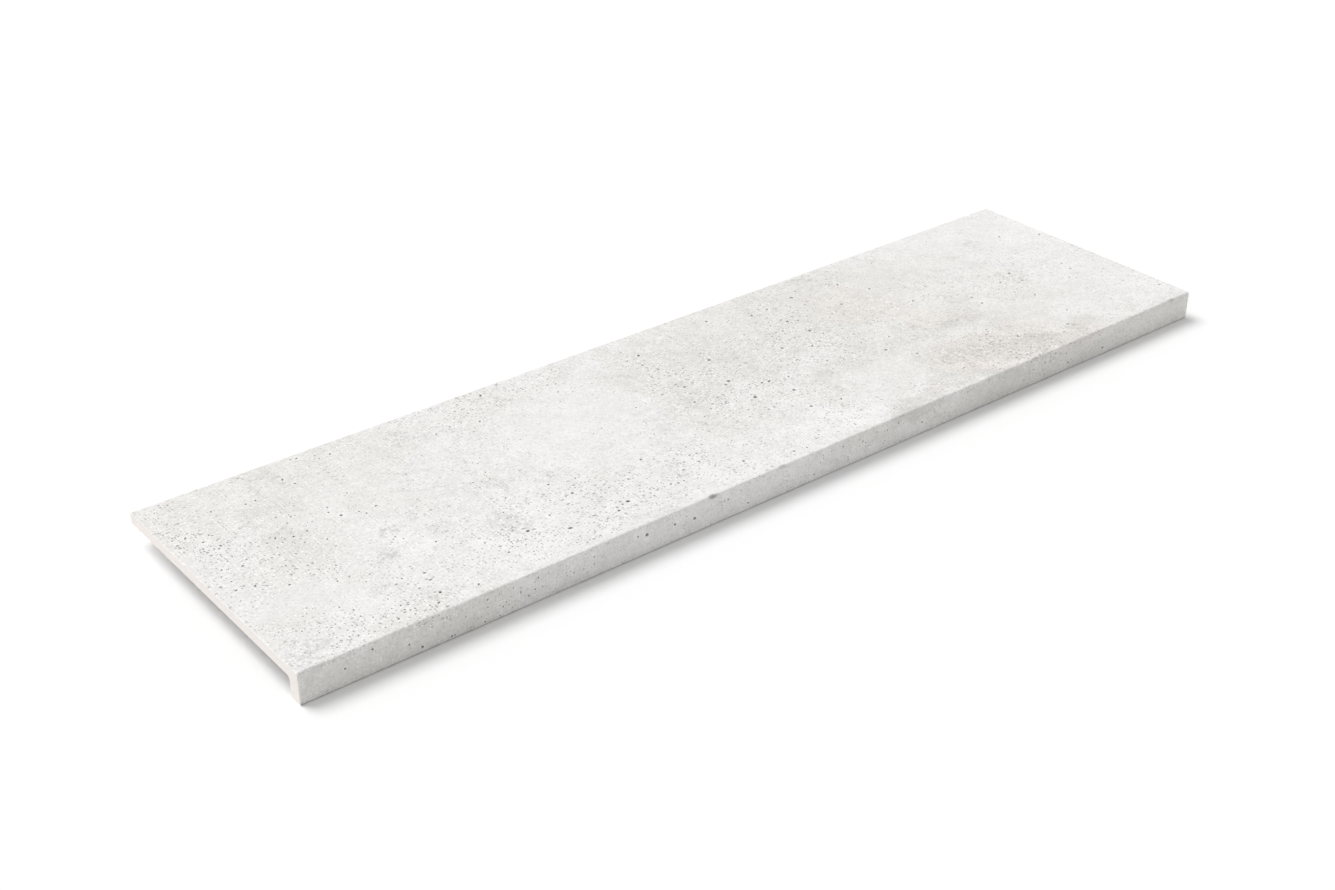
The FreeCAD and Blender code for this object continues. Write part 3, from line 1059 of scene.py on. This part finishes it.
# %% Tone of the stone
CLOUD_LEVELS, MOTTLE_LEVELS, GRAIN_LEVELS = 17, 28, 60
FLECK_LEVELS, SPECK_LEVELS, TICK_LEVELS, DARK_LEVELS = 20, 34, 12, 42
VEIN_LEVELS, PIT_AND_SHADE_LEVELS = 7, 110


def drawn_out(angle, ratio):
    """The place squeezed along one direction, so that a pattern on it is drawn out that way."""
    return stone.node("ShaderNodeMapping", {"vector_type": "TEXTURE"}, {
        "Vector": place, "Rotation": (0, 0, math.radians(angle)), "Scale": (ratio, 1, 1)})


clouds = noise(60, 4, 0.6, 1.0) - 0.5
mottles = noise(14, 4, 0.7, 2.0) - 0.5
grain = noise(2.6, 3, 0.8, 4.0) - 0.5
swarms = fade(noise(52, 3, 0.6, 5.0), 0.44, 0.60)
specks = dots(2.9, 1.1, 0.45, 6.0) * (0.6 + 0.5 * swarms)
ticks = fade(noise(3.4, 1, 0.5, 6.5, drawn_out(-10, 2.0)), 0.58, 0.70) * (1 - swarms)
pale_flecks = dots(3.3, 1.2, 0.6, 9.0)
dark_dots = dots(7.0, 1.7, 0.4, 7.0) * (0.15 + 0.75 * swarms)
mottle = fade(noise(5, 4, 0.7, 8.4), 0.42, 0.60)
vein = noise(75, 3, 0.55, 10.0) - 0.5
veins = fade(vein * vein, 0.0003, 0.0) * fade(noise(90, 1, 0.5, 10.5), 0.48, 0.62)
ground = GROUND + broad + CLOUD_LEVELS * clouds
fine = FLECK_LEVELS * pale_flecks - SPECK_LEVELS * specks - TICK_LEVELS * ticks - DARK_LEVELS * dark_dots
tone = ground + speckled * mottle + MOTTLE_LEVELS * mottles + GRAIN_LEVELS * grain
# The pit number darkens the tone: the pits' print and painted shade, the chips, and the painted contact
# shadow on the foot.
tone = tone + fine * denseness - VEIN_LEVELS * veins - PIT_AND_SHADE_LEVELS * pit
print("the tone has", len(stone.tree.nodes), "nodes so far")

# %% [markdown]
# The ramp turns the tone into a nearly neutral grey, a little warm. Two tints are multiplied over it: olive
# where the ground itself is darker, and brown on the warm stains. The glaze's sheen sends back some light of
# its own, so the colours are that much darker than the levels they are made from. The bare body on the cut
# ends is a different thing: a dry, slightly pink clay with a fine grain. Underneath it carries the thin white
# wash that keeps a tile from sticking to the kiln's rollers.

# %% Colours of the glaze and of the body
TONE_LOW, TONE_HIGH = 90.0, 252.0
REDDER, GREENER, BLUER = 1.4, 0.1, -1.5
SHEEN = 0.035
OLIVE_TINT, WARM_TINT = (1.006, 1.006, 0.984), (1.022, 0.990, 0.984)
OLIVE_FROM, OLIVE_FULL = 236.8, 230.8
BODY_COLOUR, BODY_DARK = (248, 243, 238.5), (236, 227, 219)
KILN_WASH = (240, 238, 236)
CUT_REACH = 2.0

tone_range = {"Value": tone, "From Min": TONE_LOW, "From Max": TONE_HIGH}
tone_share = stone.node("ShaderNodeMapRange", {}, tone_range)
stops = []
for position in np.linspace(0, 1, 6):
    level = TONE_LOW + (TONE_HIGH - TONE_LOW) * position
    stops.append((position, [linear(level + shift) - SHEEN for shift in (REDDER, GREENER, BLUER)]))
stone_colour = stone.node("ShaderNodeValToRGB", {"stops": stops}, {"Fac": tone_share})


def mix_colours(factor, first, second):
    """The first colour at 0 and the second at 1."""
    return stone.node("ShaderNodeMix", {"data_type": "RGBA"}, {0: factor, 6: first, 7: second}, 2)


olive = fade(ground, OLIVE_FROM, OLIVE_FULL)
for amount, tint in ((olive, OLIVE_TINT), (warmth, WARM_TINT)):
    cover = mix_colours(amount, (1, 1, 1, 1), (*tint, 1))
    stone_colour = stone.node("ShaderNodeVectorMath", {"operation": "MULTIPLY"}, {0: stone_colour, 1: cover})
body_grain = fade(noise(1.2, 3, 0.6, 12.0), 0.45, 0.75)
light_body, dark_body, wash = ([*map(linear, rgb), 1] for rgb in (BODY_COLOUR, BODY_DARK, KILN_WASH))
cut_end = fade(place_x * place_x, (LENGTH / 2 - CUT_REACH) ** 2, (LENGTH / 2 - CUT_REACH / 2) ** 2)
body_colour = mix_colours(cut_end, wash, mix_colours(body_grain, light_body, dark_body))
glaze = fade(glaze + 0.5 * (noise(4, 2, 0.5, 13.0) - 0.5), 0.35, 0.6)
print("ramp stops at", [round(position, 2) for position, _ in stops])

# %% [markdown]
# The glaze is matt, with a silky patch here and there, and the body is dry. The finest relief is bump: the
# grain of the glaze is a few hundredths of a millimetre deep, which no one would model.

# %% Put the finish together
GLAZE_ROUGHNESS, BODY_ROUGHNESS = 0.58, 0.85
SILKY_RANGE, PIT_DULLNESS = 0.16, 0.2
BUMP_STRENGTH, BUMP_DEPTH = 0.25, 0.3
silky = SILKY_RANGE * (noise(30, 3, 0.5, 14.0) - 0.5) + PIT_DULLNESS * pit
roughness = (GLAZE_ROUGHNESS + silky) * glaze + BODY_ROUGHNESS * (1 - glaze)
bumps = 0.5 * noise(1.5, 3, 0.6, 15.0) + 0.5 * noise(6, 2, 0.5, 16.0)
normal = stone.node("ShaderNodeBump", {}, {
    "Height": bumps, "Strength": BUMP_STRENGTH, "Distance": BUMP_DEPTH * MM}, "Normal")
surface = stone.node("ShaderNodeBsdfPrincipled", {}, {
    "Base Color": mix_colours(glaze, body_colour, stone_colour), "Roughness": roughness, "Normal": normal})
stone.finish(surface)
mesh.materials.append(stone_material)
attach(tile, "root")
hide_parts("nosing_tile")
print("the finish has", len(stone.tree.nodes), "nodes")

# %% [markdown]
# The light is a studio's: a white tent round the tile gives half of what the tread gets, and one large soft
# lamp overhead, behind the tile and a little to the left, gives the other half. So the tread and the near
# end are bright, the nosing is in shade, and its shadow is 40 mm wide with a dark core. A sun lamp with a
# wide disc is that soft, and perfectly even over the whole length.

# %% Lamp
LAMP_WAY = (-0.24, 0.53, 1.0)
LAMP_SPREAD = 33
LAMP_ON_TREAD = 0.5

lamp_way = Vector(LAMP_WAY).normalized()
lamp_data = bpy.data.lights.new("lamp", "SUN")
lamp_data.energy = LAMP_ON_TREAD * math.pi / lamp_way.z
lamp_data.angle = math.radians(LAMP_SPREAD)
lamp = bpy.data.objects.new("lamp", lamp_data)
bpy.context.scene.collection.objects.link(lamp)
lamp.rotation_euler = lamp_way.to_track_quat("Z", "Y").to_euler()
print("lamp energy", round(lamp_data.energy, 2))

# %% [markdown]
# The dome is like a light tent: its white walls are three times as bright as its top, which leaves the shade
# at the foot of the nosing deep and the ends bright. Its strength falls with the height z of the direction
# that a ray looks in, and a little towards the camera's side. Where the background itself is seen, by the
# camera or in a gloss, it is plain white.

# %% Dome
DOME_WALL, DOME_BY_X, DOME_BY_Y, DOME_BY_HEIGHT = 0.965, -0.09, 0.17, -0.655
world = bpy.data.worlds.new("dome")
bpy.context.scene.world = world
world.use_nodes = True
dome = Board(world.node_tree)


def seen(board):
    """1 for rays that show the background: from the camera, off a gloss, or through glass. Otherwise 0."""
    kinds = ("Camera", "Glossy", "Transmission")
    rays = [board.node("ShaderNodeLightPath", output=f"Is {kind} Ray") for kind in kinds]
    either = rays[0].joined("MAXIMUM", rays[0], rays[1])
    return either.joined("MAXIMUM", either, rays[2])


direction = dome.node("ShaderNodeTexCoord", output="Generated")
way_x, way_y, way_z = (dome.node("ShaderNodeSeparateXYZ", {}, {0: direction}, axis) for axis in "XYZ")
tent = DOME_WALL + DOME_BY_X * way_x + DOME_BY_Y * way_y + DOME_BY_HEIGHT * way_z
strength = tent + (1 - tent) * seen(dome)
dome.finish(dome.node("ShaderNodeBackground", {}, {"Color": (1, 1, 1, 1), "Strength": strength}),
            "ShaderNodeOutputWorld")
print("tent from", round(DOME_WALL + DOME_BY_HEIGHT, 2), "at the top to", DOME_WALL, "at the wall")

# %% [markdown]
# The floor is a large white sheet. To the camera it is pure white and so meets the white background without
# an edge, but it throws back a little less light than that, as a real sheet does.

# %% Floor
FLOOR_HALF = 12.0
FLOOR_WHITE, FLOOR_BOUNCE = 1.0, 0.86
floor_mesh = bpy.data.meshes.new("floor")
floor_mesh.from_pydata([(x * FLOOR_HALF, y * FLOOR_HALF, 0) for x, y in ((-1, -1), (1, -1), (1, 1), (-1, 1))],
                       [], [(0, 1, 2, 3)])
floor = bpy.data.objects.new("floor", floor_mesh)
bpy.context.scene.collection.objects.link(floor)
floor_material = bpy.data.materials.new("white_sheet")
floor_material.use_nodes = True
sheet = Board(floor_material.node_tree)
level = FLOOR_BOUNCE + (FLOOR_WHITE - FLOOR_BOUNCE) * seen(sheet)
colour = sheet.node("ShaderNodeCombineColor", {}, {0: level, 1: level, 2: level})
sheet.finish(sheet.node("ShaderNodeBsdfDiffuse", {}, {"Color": colour}))
floor_mesh.materials.append(floor_material)
print("floor", 2 * FLOOR_HALF, "m across")

# %% [markdown]
# Last comes the plain colour management.

# %% Finish
bpy.context.scene.view_settings.view_transform = "Standard"
